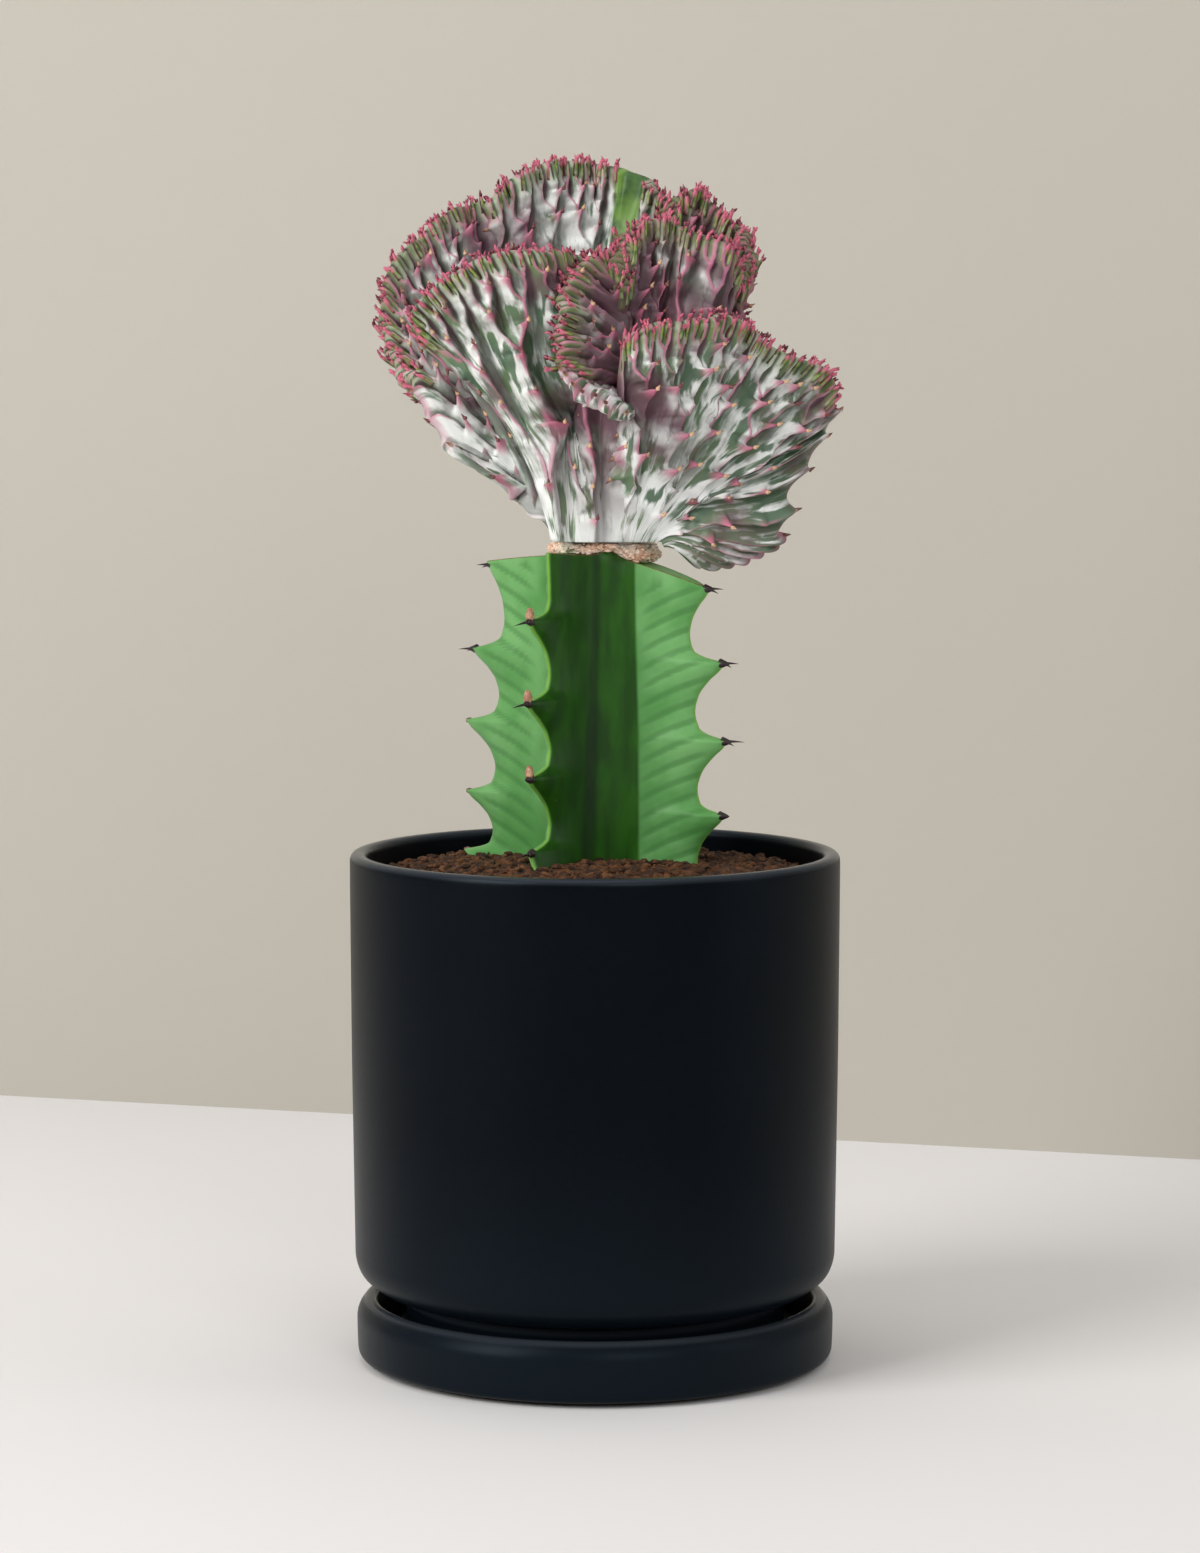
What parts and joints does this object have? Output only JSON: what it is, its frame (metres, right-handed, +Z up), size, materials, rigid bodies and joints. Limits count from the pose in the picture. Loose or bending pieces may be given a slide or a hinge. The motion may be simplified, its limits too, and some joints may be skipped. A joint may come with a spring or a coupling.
{
  "type": "potted grafted crested succulent",
  "caption": "Crested succulent with wavy pink-edged fans, grafted on a toothed green winged stem, in a matt black cylinder pot with a round saucer.",
  "frame": {"origin": "middle of the saucer's flat underside", "axes": "+Z up through the pot and the plant, -Y towards the viewer of the picture, +X to the viewer's right"},
  "size_m": [0.13, 0.13, 0.3208],
  "materials": {
    "saucer_glaze": "matt black",
    "pot_glaze": "matt black",
    "soil": "rough",
    "stem_skin": "waxy satin",
    "callus": "rough",
    "crest_skin": "waxy satin"
  },
  "bodies": {
    "root": {"saucer": "saucer_glaze", "pot": "pot_glaze", "soil": "soil", "rootstock": "stem_skin", "graft_callus": "callus", "crest": "crest_skin"}
  },
  "joints": []
}
